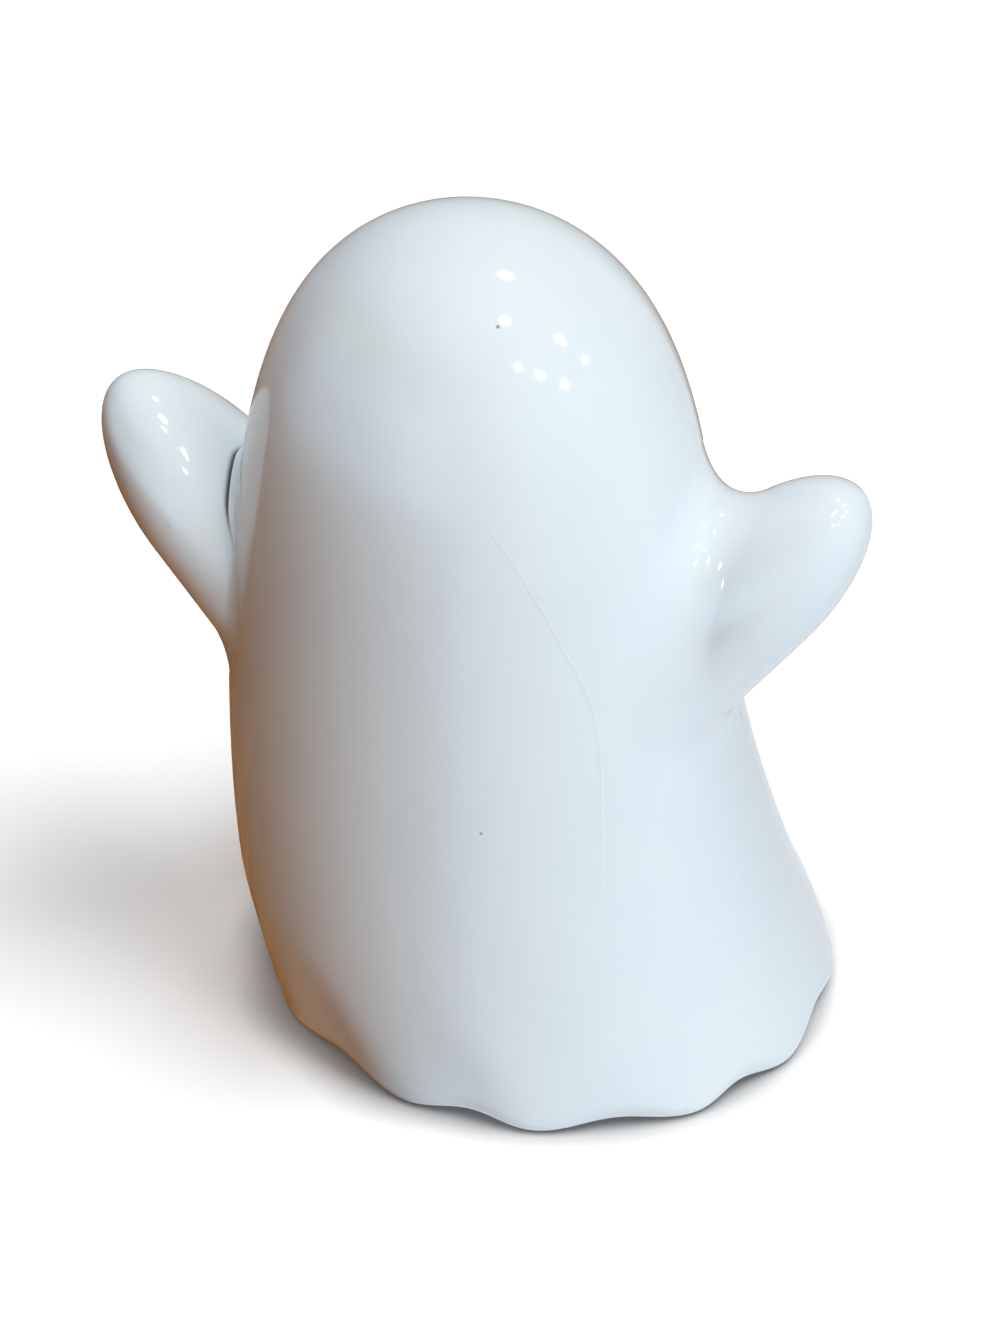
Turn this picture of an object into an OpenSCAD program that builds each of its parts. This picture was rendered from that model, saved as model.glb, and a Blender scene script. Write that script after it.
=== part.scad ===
// Ceramic ghost figure: a hollow slip-cast body with a scalloped hem, two hollow
// raised arms luted to its sides with slip, and a face of three black glazed inlays.
// The figure faces -Y, its left arm points to +X, and it stands on the plane z = 0.

/* [Body] */
// Height from the table to the crown
height = 150; // [120:1:220]
// Width across the hem, side to side
hem_w = 101; // [92:1:140]
// Depth across the hem, front to back
hem_d = 92; // [84:1:130]
// Thickness of the cast wall
wall = 4; // [2.5:0.5:5]
// Thickness of the closed floor
floor_t = 5; // [4:0.5:8]
// How far the hem is swept to the figure's right side
sweep = 11; // [0:0.5:14]
// How far the hem is swept to the front
lean = 4; // [0:0.5:8]
// Diameter of the drain hole in the floor
drain_d = 12; // [6:1:20]

/* [Hem] */
// How far a valley between two lobes lies inside the hem
valley_in = 1; // [0:0.2:2.4]
// How far a valley of the hem is lifted off the table
valley_lift = 3.4; // [0:0.2:4]
// Height over which lobes and valleys fade into the body
lobe_rise = 26; // [15:1:40]
// Inset of the flat foot from the hem at a lobe
roll_in = 1.6; // [1.2:0.1:4]
// Extra inset of the flat foot at a valley
roll_extra = 2.8; // [0:0.1:4]
// Height of the rolled edge at a lobe
roll_h = 2.4; // [1.5:0.1:4]

/* [Arms] */
// Height of the arm's inner end on its axis
shoulder_z = 67.5; // [60:0.5:76]
// Distance of that end from the spine, to the side
shoulder_x = 29; // [25:0.5:33]
// Distance of that end in front of the spine
shoulder_front = 1.4; // [-2:0.2:4]
// Length of the arm from that end to its tip
arm_len = 54.8; // [46:0.2:62]
// Angle of the arm above the horizontal
arm_pitch = 53; // [42:0.5:58]
// Angle by which the arm swings to the back
arm_swing = 5.6; // [-5:0.2:12]
// Height of the arm's section at its inner end
arm_root_h = 26; // [22:0.2:32]
// Thickness of the arm's section at its inner end, front to back
arm_root_t = 39.8; // [30:0.2:42]
// Height of the arm's section at its tip, before rounding
arm_tip_h = 21.6; // [16:0.2:26]
// Thickness of the arm's section at its tip, before rounding
arm_tip_t = 27; // [20:0.5:32]
// Thickness of the arm's cast wall
arm_wall = 3.5; // [2.5:0.5:4.5]
// Diameter of the air hole from the arm into the body
air_hole_d = 8; // [4:1:10]
// Slip line between an arm, the body and the fillet that joins them
slip_gap = 0.1; // [0.05:0.05:0.3]

/* [Luting] */
// Largest reach of the slip fillet round the right arm
right_reach = 14; // [6:0.5:15]
// Largest reach of the slip fillet round the left arm
left_reach = 7; // [4:0.5:10]

/* [Face] */
// Height of the eyes
eye_z = 107; // [98:1:112]
// Angle of each eye from the front, seen from above
eye_angle = 21; // [17:1:27]
// Width of an eye
eye_w = 8; // [5:0.5:10]
// Height of an eye
eye_h = 11; // [6:0.5:13]
// Height of the mouth's middle
mouth_z = 89; // [84:1:93]
// Width of the mouth
mouth_w = 7; // [4:0.5:10]
// Height of the mouth
mouth_h = 8.5; // [4:0.5:11]
// Depth of the recesses that hold the inlays
recess_depth = 1.4; // [1:0.1:1.8]
// How far an inlay's middle stands proud of the glaze
inlay_proud = 0.5; // [0.2:0.1:1]
// How far an inlay's edge lies below the glaze
edge_sink = 0.4; // [0.3:0.1:0.6]
// Clearance round an inlay in its recess
inlay_gap = 0.1; // [0.05:0.05:0.2]

/* [Hidden] */

glaze_white = [0.90, 0.93, 0.95];
slip_white = [0.86, 0.90, 0.93];
glaze_black = [0.05, 0.05, 0.06];

// Overrun of every cut past the surface that it opens
over = 1;

// Control shares of the side profile: half widths from the hem to the crown
width_shares = [1, 1.01, 0.785, 0.86, 0.83, 1.045];
// Control shares of depth to width, from the hem to the crown, 1 at the hem
depth_shares = [1, 0.85, 1.05];
// Control shares of the spine's place to the left side, from the hem to the crown
sweep_shares = [-1, 0.09, 0.36, 0, 0.24];
// Control shares of the spine's place to the back, from the hem to the crown
lean_shares = [-0.6, -0.6, 0.57, 0.3, 0.3];
// Roundness of the crown
crown_power = 3.87;
// Places of the lobes round the hem, as shares of a turn from the left side
lobe_shares = [0.025, 0.104, 0.204, 0.279, 0.371, 0.443,
               0.532, 0.612, 0.696, 0.778, 0.861, 0.944];
// Share of the height where the crown's closer rings begin
crown_share = 0.7;
// Share of the arm's length where its rounded end begins
cap_share = 0.55;
// Reach of a fillet at the arm's top, front, bottom and back, as shares
right_reach_shares = [1, 0.6, 0.1, 0.8];
left_reach_shares = [0.2, 1, 1, 0.4];
// Handles of the fillet's curve, as a share of its reach
handle_share = 0.6;

// Counts of points, rings and steps
body_n = 96;
roll_rings = 4;
wall_rings = 13;
crown_rings = 12;
skin_n = 48;
skin_roll_rings = 2;
skin_wall_rings = 6;
skin_crown_rings = 7;
arm_n = 40;
arm_ring_n = 10;
hollow_rings = 5;
luting_steps = 6;
base_steps = 4;
search_steps = 16;
oval_n = 32;
oval_rings = 4;
hole_fn = 64;

// Value at share t of the smooth curve steered by a list of control shares
function smooth_curve(shares, t) =
    len(shares) == 1 ? shares[0]
    : smooth_curve([for (i = [0:len(shares) - 2])
                       shares[i] * (1 - t) + shares[i + 1] * t], t);

// Share of the full width left at share t of the height, closing to the crown
function crown_fall(t) = sqrt(max(0, 1 - pow(min(1, t), crown_power)));

// Half width, half depth and spine of the body at height z, for a skin that
// lies inset inside the outer one
function half_w(z, inset = 0) =
    (hem_w / 2 * smooth_curve(width_shares, z / height) - inset)
    * crown_fall(z / (height - inset));
function half_d(z, inset = 0) =
    (hem_d / 2 * smooth_curve(width_shares, z / height)
     * smooth_curve(depth_shares, z / height) - inset)
    * crown_fall(z / (height - inset));

// The spine at height z. The right arm is made as a left arm on a mirrored body,
// whose side is -1.
function spine(z, side = 1) =
    [side * sweep * smooth_curve(sweep_shares, z / height),
     lean * smooth_curve(lean_shares, z / height), z];

// Point on an oval of half width w and half depth d round the spine at height z
function oval_point(w, d, z, angle) = spine(z) + [w * cos(angle), d * sin(angle), 0];
function oval_ring(n, w, d, z) =
    [for (i = [0:n - 1]) oval_point(w, d, z, 360 * i / n)];

// Heights of a skin's rings, closer together towards the crown
function ring_heights(low, high, walls, crowns) =
    concat(
        [for (i = [0:walls - 1]) low + (high * crown_share - low) * i / walls],
        [for (i = [0:crowns - 1])
            high * (crown_share + (1 - crown_share) * sin(90 * i / crowns))]);

// How far between two lobes a place on the hem is, as a share of their gap
function gap_share(place) =
    let (n = len(lobe_shares),
         p = place < lobe_shares[0] ? place + 1 : place,
         i = max([for (k = [0:n - 1]) if (lobe_shares[k] <= p) k]),
         next = i == n - 1 ? lobe_shares[0] + 1 : lobe_shares[i + 1])
    (p - lobe_shares[i]) / (next - lobe_shares[i]);

// 0 on a lobe and 1 in the middle of a valley, for an angle round the hem
function valley(angle) = (1 - cos(360 * gap_share(angle / 360))) / 2;

// 1 at the table, falling to 0 where the lobes have faded into the body
function lobe_fade(z) =
    let (s = min(1, z / lobe_rise))
    (1 - s) * (1 - s) * (1 + 2 * s);

// Ring of the rolled edge: q runs from 0 on the foot to 1 on the wall
function roll_ring(q) =
    [for (i = [0:body_n - 1])
        let (angle = 360 * i / body_n,
             v = valley(angle),
             inset = (roll_in + roll_extra * v) * (1 - sin(90 * q)) + valley_in * v)
        oval_point(half_w(0) - inset, half_d(0) - inset, 0, angle)
        + [0, 0, (roll_h + valley_lift * v) * (1 - cos(90 * q))]];

// Ring of the outer wall, drawn in and lifted at each valley
function wall_ring(z) =
    [for (i = [0:body_n - 1])
        let (angle = 360 * i / body_n,
             v = valley(angle),
             draw_in = valley_in * v * lobe_fade(z),
             lift = (roll_h + valley_lift * v) * lobe_fade(z))
        oval_point(half_w(z) - draw_in, half_d(z) - draw_in, z, angle)
        + [0, 0, lift]];

outer_rings = concat(
    [for (i = [0:roll_rings - 1]) roll_ring(i / roll_rings)],
    [for (z = ring_heights(0, height, wall_rings, crown_rings)) wall_ring(z)]);

// The inner skin starts with a rounded corner on the floor
inner_top = height - wall;
corner = roll_in + roll_extra;
inner_rings = concat(
    [for (i = [0:skin_roll_rings - 1])
        let (q = i / skin_roll_rings,
             inset = corner * (1 - sin(90 * q)),
             z = floor_t + corner * (1 - cos(90 * q)))
        oval_ring(skin_n, half_w(z, wall) - inset, half_d(z, wall) - inset, z)],
    [for (z = ring_heights(floor_t + corner, inner_top, skin_wall_rings, skin_crown_rings))
        oval_ring(skin_n, half_w(z, wall), half_d(z, wall), z)]);

// Bands of triangles between rings of n points that follow one another
function band_faces(n, rings) =
    [for (r = [0:rings - 2], i = [0:n - 1])
        let (j = (i + 1) % n)
        each [[r * n + i, (r + 1) * n + i, r * n + j],
              [r * n + j, (r + 1) * n + i, (r + 1) * n + j]]];

// Triangles that close the last ring to the pole with a given index
function pole_faces(n, rings, pole) =
    [for (i = [0:n - 1])
        [(rings - 1) * n + i, pole, (rings - 1) * n + (i + 1) % n]];

// A closed solid on a flat foot: rings from the foot up to a pole
module dome_solid(rings, pole) {
    n = len(rings[0]);
    polyhedron(
        points = concat([for (ring = rings) each ring], [pole]),
        faces = concat([[for (i = [0:n - 1]) i]],
                       band_faces(n, len(rings)),
                       pole_faces(n, len(rings), len(rings) * n)),
        convexity = 4);
}

// A cup: rings from a pole inside, over its rim, to a pole outside
module cup_solid(inside, rings, outside) {
    n = len(rings[0]);
    count = len(rings) * n;
    polyhedron(
        points = concat([for (ring = rings) each ring], [inside, outside]),
        faces = concat([for (i = [0:n - 1]) [i, (i + 1) % n, count]],
                       band_faces(n, len(rings)),
                       pole_faces(n, len(rings), count + 1)),
        convexity = 6);
}

// A closed ring whose sections follow one another round a loop
module loop_solid(sections) {
    n = len(sections);
    m = len(sections[0]);
    polyhedron(
        points = [for (section = sections) each section],
        faces = [for (i = [0:n - 1], k = [0:m - 1])
            let (j = (i + 1) % n,
                 l = (k + 1) % m)
            each [[i * m + k, j * m + k, i * m + l],
                  [i * m + l, j * m + k, j * m + l]]],
        convexity = 6);
}

function unit(v) = v / norm(v);

// The arm's axis, and the directions across it to its top and to its front
arm_axis = [cos(arm_pitch) * cos(arm_swing), cos(arm_pitch) * sin(arm_swing), sin(arm_pitch)];
arm_top = unit([0, 0, 1] - arm_axis * arm_axis[2]);
arm_front = cross(arm_axis, arm_top);
function shoulder(side) = spine(shoulder_z, side) + [shoulder_x, -shoulder_front, 0];

// A point of an arm's skin at share s of its length. The turn is 0 at the
// top, 90 at the front, 180 at the bottom and 270 at the back.
function arm_point(side, s, turn, inset = 0) =
    let (u = min(1, max(0, (s - cap_share) / (1 - cap_share))),
         closing = sqrt(1 - u * u),
         tall = (arm_root_h + (arm_tip_h - arm_root_h) * s) / 2 - inset,
         thick = (arm_root_t + (arm_tip_t - arm_root_t) * s) / 2 - inset)
    shoulder(side) + arm_axis * (arm_len - inset) * s
    + closing * (tall * cos(turn) * arm_top + thick * sin(turn) * arm_front);

// 1 on the body's skin grown by the slip line, less inside and more outside
function body_ratio(p, side) =
    let (c = spine(p[2], side))
    norm([(p[0] - c[0]) / (half_w(p[2]) + slip_gap),
          (p[1] - c[1]) / (half_d(p[2]) + slip_gap)]);

// Point p moved level, away from the spine or to it, on to that grown skin
function on_body(p, side) =
    let (c = spine(p[2], side))
    c + (p - c) / body_ratio(p, side);

// Direction square to the body's skin at point p, from the rise of the ratio
// over a short step each way
function body_normal(p, side) =
    unit([for (step = [[slip_gap, 0, 0], [0, slip_gap, 0], [0, 0, slip_gap]])
        body_ratio(p + step, side) - body_ratio(p - step, side)]);

// Share of the arm's length where its skin comes out of the body
function root_share(side, turn, inset, low = 0, high = 1, steps = search_steps) =
    let (middle = (low + high) / 2)
    steps == 0 ? middle
    : body_ratio(arm_point(side, middle, turn, inset), side) < 1
        ? root_share(side, turn, inset, middle, high, steps - 1)
        : root_share(side, turn, inset, low, middle, steps - 1);

// Turns round an arm, counted from its underside
turns = [for (i = [0:arm_n - 1]) (180 + 360 * i / arm_n) % 360];

// Ring of an arm's skin: q runs from 0 at the body to 1 at the arm's tip
function arm_ring(side, inset, q) =
    [for (turn = turns)
        let (root = root_share(side, turn, inset))
        arm_point(side, root + (1 - root) * sin(90 * q), turn, inset)];

// Rings from deep inside the hollow arm, over its seat, out to its tip
function arm_rings(side) = concat(
    [for (i = [hollow_rings - 1:-1:0]) arm_ring(side, arm_wall, i / hollow_rings)],
    [for (i = [0:arm_ring_n - 1]) arm_ring(side, 0, i / arm_ring_n)]);

// Reach of a fillet at a turn, eased between its four shares
function reach_at(reach, shares, turn) =
    let (i = floor(turn / 90),
         ease = (1 - cos(180 * (turn / 90 - i))) / 2,
         next = shares[(i + 1) % 4])
    reach * (shares[i] + (next - shares[i]) * ease);

// Section of the slip fillet at one turn: a hollow curve from the arm down to
// the body, tangent to both, then along the body to the root and up the arm
function luting_section(side, turn, reach, shares) =
    let (f = reach_at(reach, shares, turn),
         root_s = root_share(side, turn, -slip_gap),
         high_s = root_s + f / arm_len,
         step = slip_gap / arm_len,
         root = arm_point(side, root_s, turn, -slip_gap),
         high = arm_point(side, high_s, turn, -slip_gap),
         rise = unit(arm_point(side, high_s + step, turn, -slip_gap)
                     - arm_point(side, high_s - step, turn, -slip_gap)),
         across = cos(turn) * arm_top + sin(turn) * arm_front,
         square = body_normal(root, side),
         low = on_body(root + unit(across - square * (across * square)) * f, side),
         low_square = body_normal(low, side),
         inward = unit(root - low - low_square * ((root - low) * low_square)),
         high_handle = high - rise * f * handle_share,
         low_handle = low + inward * f * handle_share)
    concat(
        [for (k = [0:luting_steps])
            let (s = k / luting_steps)
            smooth_curve([high, high_handle, low_handle, low], s)],
        [for (k = [1:base_steps - 1]) on_body(low + (root - low) * k / base_steps, side)],
        [for (k = [0:base_steps - 1])
            arm_point(side, root_s + (high_s - root_s) * k / base_steps, turn, -slip_gap)]);

// The origin is under the middle of the whole figure's width and depth
extremes = [
    each [for (ring = outer_rings) each ring],
    each [for (i = [0:arm_ring_n]) each arm_ring(1, 0, i / arm_ring_n)],
    for (i = [0:arm_ring_n], p = arm_ring(-1, 0, i / arm_ring_n)) [-p[0], p[1], p[2]]];
function middle_of(axis) =
    let (places = [for (p = extremes) p[axis]])
    (min(places) + max(places)) / 2;
origin = [middle_of(0), middle_of(1), 0];

// Place on the body's front, at an angle from the middle, and its turned frame
module on_face(angle, z) {
    p = oval_point(half_w(z), half_d(z), z, angle - 90);
    square = body_normal(p, 1);
    translate(p)
        rotate([0, acos(square[2]), atan2(square[1], square[0])])
        children();
}

// An oval that lies in that frame, as tall as h and as wide as w
function oval_points(w, h) =
    [for (i = [0:oval_n - 1])
        [h / 2 * cos(360 * i / oval_n), w / 2 * sin(360 * i / oval_n)]];

module recess(w, h) {
    translate([0, 0, -recess_depth])
        linear_extrude(recess_depth + over)
        polygon(oval_points(w + 2 * inlay_gap, h + 2 * inlay_gap));
}

// A domed inlay that seats on the floor of its recess
module inlay(w, h) {
    dome_h = inlay_proud + edge_sink;
    foot = [for (p = oval_points(w, h)) [p[0], p[1], -recess_depth]];
    dome = [for (r = [0:oval_rings - 1])
        let (q = 90 * r / oval_rings)
        [for (p = oval_points(w * cos(q), h * cos(q)))
            [p[0], p[1], dome_h * sin(q) - edge_sink]]];
    dome_solid(concat([foot], dome), [0, 0, inlay_proud]);
}

// The hole through the body's wall that an arm's hollow opens on
module air_hole(side) {
    reach = norm(arm_point(side, cap_share, 0) - shoulder(side));
    on_side(side)
        translate(shoulder(side))
        rotate([0, 90 - arm_pitch, arm_swing])
        cylinder(h = reach, d = air_hole_d, $fn = hole_fn);
}

// Puts what is made on the left side, or on the mirrored body, where it belongs
module on_side(side) {
    if (side > 0) {
        children();
    } else {
        mirror([1, 0, 0]) children();
    }
}

module body_shell() {
    color(glaze_white)
        translate(-origin)
        difference() {
            dome_solid(outer_rings, spine(height));
            dome_solid(inner_rings, spine(inner_top));
            translate(spine(0) - [0, 0, over])
                cylinder(h = floor_t + 2 * over, d = drain_d, $fn = hole_fn);
            for (side = [1, -1]) {
                air_hole(side);
                on_face(side * eye_angle, eye_z) recess(eye_w, eye_h);
            }
            on_face(0, mouth_z) recess(mouth_w, mouth_h);
        }
}

module arm(side) {
    color(glaze_white)
        translate(-origin)
        on_side(side)
        cup_solid(arm_point(side, 1, 0, arm_wall), arm_rings(side), arm_point(side, 1, 0));
}

module left_arm() {
    arm(1);
}

module right_arm() {
    arm(-1);
}

module luting(side, reach, shares) {
    color(slip_white)
        translate(-origin)
        on_side(side)
        loop_solid([for (turn = turns) luting_section(side, turn, reach, shares)]);
}

module left_arm_luting() {
    luting(1, left_reach, left_reach_shares);
}

module right_arm_luting() {
    luting(-1, right_reach, right_reach_shares);
}

module face_inlay(angle, z, w, h) {
    color(glaze_black)
        translate(-origin)
        on_face(angle, z)
        inlay(w, h);
}

module left_eye() {
    face_inlay(eye_angle, eye_z, eye_w, eye_h);
}

module right_eye() {
    face_inlay(-eye_angle, eye_z, eye_w, eye_h);
}

module mouth() {
    face_inlay(0, mouth_z, mouth_w, mouth_h);
}

body_shell();
left_arm();
right_arm();
left_arm_luting();
right_arm_luting();
left_eye();
right_eye();
mouth();
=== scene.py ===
import math
from types import SimpleNamespace

import bpy
import numpy as np
from mathutils import Matrix, Vector


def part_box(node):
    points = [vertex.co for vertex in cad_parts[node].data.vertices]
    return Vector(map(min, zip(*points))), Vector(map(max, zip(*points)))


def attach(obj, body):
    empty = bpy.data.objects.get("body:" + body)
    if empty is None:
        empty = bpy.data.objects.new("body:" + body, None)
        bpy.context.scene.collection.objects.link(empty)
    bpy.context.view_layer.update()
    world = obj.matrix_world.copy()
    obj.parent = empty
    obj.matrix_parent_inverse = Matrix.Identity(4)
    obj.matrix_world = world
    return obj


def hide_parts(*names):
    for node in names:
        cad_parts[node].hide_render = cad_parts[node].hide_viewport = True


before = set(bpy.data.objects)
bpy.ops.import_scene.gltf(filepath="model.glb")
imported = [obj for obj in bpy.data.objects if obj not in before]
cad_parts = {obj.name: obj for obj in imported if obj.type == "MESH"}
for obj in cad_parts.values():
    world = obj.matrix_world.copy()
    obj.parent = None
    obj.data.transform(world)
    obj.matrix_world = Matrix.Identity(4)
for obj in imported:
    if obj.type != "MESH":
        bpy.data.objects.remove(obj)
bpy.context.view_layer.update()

# Sizes in millimetres and angles, as in the CAD
HEIGHT, HEM_W, HEM_D = 150.0, 101.0, 92.0
WALL, FLOOR_T, DRAIN_R = 4.0, 5.0, 6.0
SWEEP, LEAN = 11.0, 4.0
VALLEY_IN, VALLEY_LIFT, LOBE_RISE = 1.0, 3.4, 26.0
ROLL_IN, ROLL_EXTRA, ROLL_H = 1.6, 2.8, 2.4
SHOULDER_Z, SHOULDER_X, SHOULDER_FRONT = 67.5, 29.0, 1.4
ARM_LEN, ARM_PITCH, ARM_SWING = 54.8, math.radians(53), math.radians(5.6)
ROOT_H, ROOT_T, TIP_H, TIP_T, ARM_WALL = 26.0, 39.8, 21.6, 27.0, 3.5
EYE_Z, EYE_ANGLE, EYE_W, EYE_H = 107.0, math.radians(21), 8.0, 11.0
MOUTH_Z, MOUTH_W, MOUTH_H = 89.0, 7.0, 8.5
RECESS, PROUD, SINK, GAP = 1.4, 0.5, 0.4, 0.1

# Control shares from the hem to the crown: the half width's profile, the depth to the width, and
# the spine's place to the left side and to the back
WIDTH_SHARES = (1, 1.01, 0.785, 0.86, 0.83, 1.045)
DEPTH_SHARES = (1, 0.85, 1.05)
SWEEP_SHARES = (-1, 0.09, 0.36, 0, 0.24)
LEAN_SHARES = (-0.6, -0.6, 0.57, 0.3, 0.3)
# Roundness of the crown
CROWN_POWER = 3.87
# Places of the lobes round the hem, as shares of a turn from the left side
LOBE_SHARES = np.array((0.025, 0.104, 0.204, 0.279, 0.371, 0.443,
                        0.532, 0.612, 0.696, 0.778, 0.861, 0.944))
# Share of the arm's length where its rounded end begins
CAP_SHARE = 0.55
# A fillet's largest reach, with its shares at the arm's top, front, bottom and back, by side
REACH = {1: (7.0, (0.2, 1, 1, 0.4)), -1: (14.0, (1, 0.6, 0.1, 0.8))}
TAU = 2 * math.pi
QUARTER = math.pi / 2
M_PER_MM, MM_PER_M = 0.001, 1000


def bernstein(shares, t):
    """Value at share t of the smooth curve that a list of control shares steers."""
    rows = [np.asarray(s, float) + 0 * t for s in shares]
    while len(rows) > 1:
        rows = [a * (1 - t) + b * t for a, b in zip(rows, rows[1:])]
    return rows[0]


def fall(t):
    """Share of the full width left at share t of the height, closing to the crown."""
    return np.sqrt(np.clip(1 - np.clip(t, 0, 1) ** CROWN_POWER, 0, 1))


def half_w(z, inset=0.0):
    """The body's half width at height z, for a skin that lies inset inside the outer one."""
    return (HEM_W / 2 * bernstein(WIDTH_SHARES, z / HEIGHT) - inset) * fall(z / (HEIGHT - inset))


def half_d(z, inset=0.0):
    """The body's half depth at height z, in the same way."""
    wide = HEM_D / 2 * bernstein(WIDTH_SHARES, z / HEIGHT) * bernstein(DEPTH_SHARES, z / HEIGHT)
    return (wide - inset) * fall(z / (HEIGHT - inset))


def spine(z, side=1):
    """Where the spine passes at height z. The right arm is made as a left one on a mirrored body."""
    return side * SWEEP * bernstein(SWEEP_SHARES, z / HEIGHT), LEAN * bernstein(LEAN_SHARES, z / HEIGHT)


def valley(angle):
    """0 on a lobe and 1 in the middle of a valley, for an angle round the hem."""
    u = np.mod(angle / TAU, 1.0)
    marks = np.append(LOBE_SHARES, LOBE_SHARES[0] + 1)
    v = np.where(u < LOBE_SHARES[0], u + 1, u)
    i = np.clip(np.searchsorted(marks, v, side="right") - 1, 0, len(LOBE_SHARES) - 1)
    return (1 - np.cos(TAU * (v - marks[i]) / (marks[i + 1] - marks[i]))) / 2


def lobe_fade(z):
    """1 at the table, falling to 0 where the lobes have faded into the body."""
    s = np.clip(z / LOBE_RISE, 0, 1)
    return (1 - s) ** 2 * (1 + 2 * s)


def oval(w, d, z, angle, lift=0.0):
    """Points on an oval of half width w and half depth d round the spine at height z."""
    x, y = spine(z)
    return np.stack([x + w * np.cos(angle), y + d * np.sin(angle), z + lift + 0 * angle], -1)


def roll_ring(q, angle):
    """Ring of the rolled edge: q runs from 0 on the foot to 1 on the wall."""
    v = valley(angle)
    s, c = math.sin(q * QUARTER), math.cos(q * QUARTER)
    inset = (ROLL_IN + ROLL_EXTRA * v) * (1 - s) + VALLEY_IN * v
    z = np.zeros_like(angle)
    return oval(half_w(z) - inset, half_d(z) - inset, z, angle,
                (ROLL_H + VALLEY_LIFT * v) * (1 - c))


def wall_ring(z, angle):
    """Ring of the outer wall, drawn in and lifted at each valley."""
    v, f = valley(angle), lobe_fade(z)
    level = np.full_like(angle, z)
    return oval(half_w(level) - VALLEY_IN * v * f, half_d(level) - VALLEY_IN * v * f, level,
                angle, (ROLL_H + VALLEY_LIFT * v) * f)


# The arms, and places on the body's skin

# Small step for slopes, in millimetres, and halvings in the search for a crossing
PROBE, HALVINGS = 0.05, 24


def unit(v):
    return v / np.linalg.norm(v, axis=-1, keepdims=True)


AXIS = np.array((math.cos(ARM_PITCH) * math.cos(ARM_SWING),
                 math.cos(ARM_PITCH) * math.sin(ARM_SWING), math.sin(ARM_PITCH)))
TOP = unit(np.array((0, 0, 1.0)) - AXIS * AXIS[2])
FRONT = np.cross(AXIS, TOP)


def shoulder(side):
    x, y = spine(SHOULDER_Z, side)
    return np.array((x + SHOULDER_X, y - SHOULDER_FRONT, SHOULDER_Z))


def arm_point(side, s, turn, inset=0.0):
    """A point of an arm's skin at share s of its length. The turn is 0 at the top, and a quarter
    at the front, so three quarters at the back."""
    s, turn, inset = np.broadcast_arrays(s, turn, inset)
    u = np.clip((s - CAP_SHARE) / (1 - CAP_SHARE), 0, 1)
    closing = np.sqrt(1 - u * u)
    tall = (ROOT_H + (TIP_H - ROOT_H) * s) / 2 - inset
    thick = (ROOT_T + (TIP_T - ROOT_T) * s) / 2 - inset
    return (shoulder(side) + (s * (ARM_LEN - inset))[..., None] * AXIS
            + (closing * tall * np.cos(turn))[..., None] * TOP
            + (closing * thick * np.sin(turn))[..., None] * FRONT)


def ratio(p, side):
    """1 on the body's skin, less inside and more outside."""
    x, y = spine(p[..., 2], side)
    return np.hypot((p[..., 0] - x) / half_w(p[..., 2]), (p[..., 1] - y) / half_d(p[..., 2]))


def on_body(p, side):
    """Point p moved level, away from the spine or to it, on to the body's skin."""
    x, y = spine(p[..., 2], side)
    centre = np.stack([x, y, p[..., 2]], -1)
    return centre + (p - centre) / ratio(p, side)[..., None]


def body_normal(p, side=1):
    """Direction square to the body's skin at point p."""
    steps = np.eye(3) * PROBE
    return unit(np.stack([ratio(p + k, side) - ratio(p - k, side) for k in steps], -1))


def root_share(side, turn, inset=0.0):
    """Share of the arm's length at which it comes out of the body's skin."""
    low, high = np.zeros_like(turn), np.ones_like(turn)
    for _ in range(HALVINGS):
        mid = (low + high) / 2
        inside = ratio(arm_point(side, mid, turn, inset), side) < 1
        low, high = np.where(inside, mid, low), np.where(inside, high, mid)
    return (low + high) / 2


def eased(shares, turn):
    """Value at a turn, eased between its shares at top, front, bottom and back."""
    k = np.mod(turn, TAU) / QUARTER
    i = np.floor(k).astype(int) % 4
    shares = np.asarray(shares, float)
    ease = (1 - np.cos(math.pi * (k - np.floor(k)))) / 2
    return shares[i] + (shares[(i + 1) % 4] - shares[i]) * ease


def smooth(x):
    x = np.clip(x, 0, 1)
    return x * x * (3 - 2 * x)


# The left arm's fillet has a crease and a ridge at its upper back, each with its place as a share
# of the fillet's curve, its width as a share and its height
CREASE, RIDGE = (0.25, 0.13, -0.8), (0.60, 0.15, 0.9)
# Degrees round the arm where the crease begins and ends, and over how many each end fades
CREASE_START, START_FADE, CREASE_END, END_FADE = 297, 18, 342, 22
# How much farther the fillet reaches along the arm at the crease
CREASE_REACH = 1.4
# How deep a fillet's two edges lie in the skins of the arm and of the body
SUNK_ARM, SUNK_BODY = 0.02, 0.15
# Handles of the fillet's curve, as a share of its reach
HANDLE_SHARE = 0.6
# How deep a fillet's root lies in the joint, and how much deeper at the crease
FILLET_DEPTH, CREASE_DEPTH = 0.9, 1.3
# How far a skin dips under a fillet, how much more at the crease, and over what lengths
DIP, CREASE_DIP = 0.7, 0.8
ARM_DIP_RUN, CREASE_RUN_CUT, BODY_DIP_RUN = 1.5, 0.8, 1.8


def crease_share(side, turn):
    """How much of the crease and the ridge a place round the left arm has."""
    t = np.degrees(turn)
    begun = smooth((t - CREASE_START) / START_FADE)
    return begun * (1 - smooth((t - CREASE_END) / END_FADE)) * (side > 0)


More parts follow.
